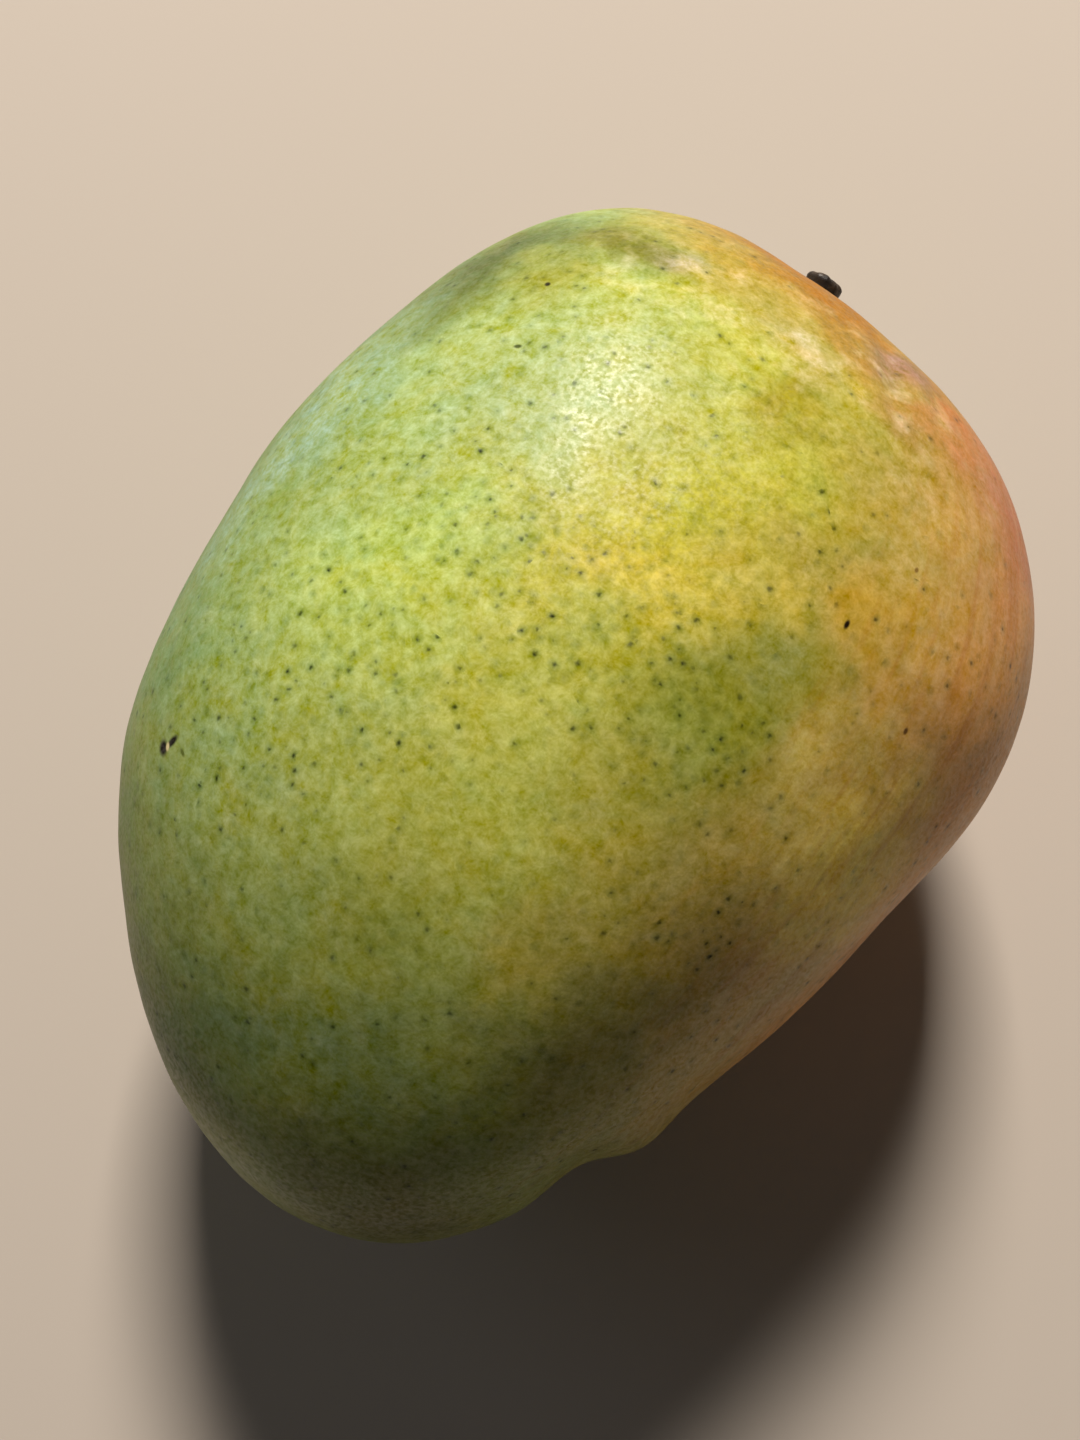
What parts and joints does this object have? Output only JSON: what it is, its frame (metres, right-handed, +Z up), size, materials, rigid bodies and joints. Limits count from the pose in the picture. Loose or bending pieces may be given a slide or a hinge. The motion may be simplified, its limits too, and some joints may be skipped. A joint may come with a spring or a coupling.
{
  "type": "mango",
  "caption": "Whole ripening mango lying on one cheek, green on its back and orange on its belly, with a short dark stub of its stalk.",
  "frame": {"origin": "on the surface the fruit lies on, under the middle of the whole part's box", "axes": "+Y towards the stalk end, -Y towards the tip, +X towards the belly with its small beak, -X towards the back, +Z up through the two cheeks"},
  "size_m": [0.1044, 0.1402, 0.0913],
  "materials": {
    "mango_skin": "waxy satin fruit skin, yellow-green with a grey-green bloom, an orange blush and fine dark green dots",
    "dry_stalk": "dry dark brown woody stalk, matt with a slightly shiny edge"
  },
  "bodies": {
    "root": {"fruit": "mango_skin", "stalk_stub": "dry_stalk"}
  },
  "joints": []
}
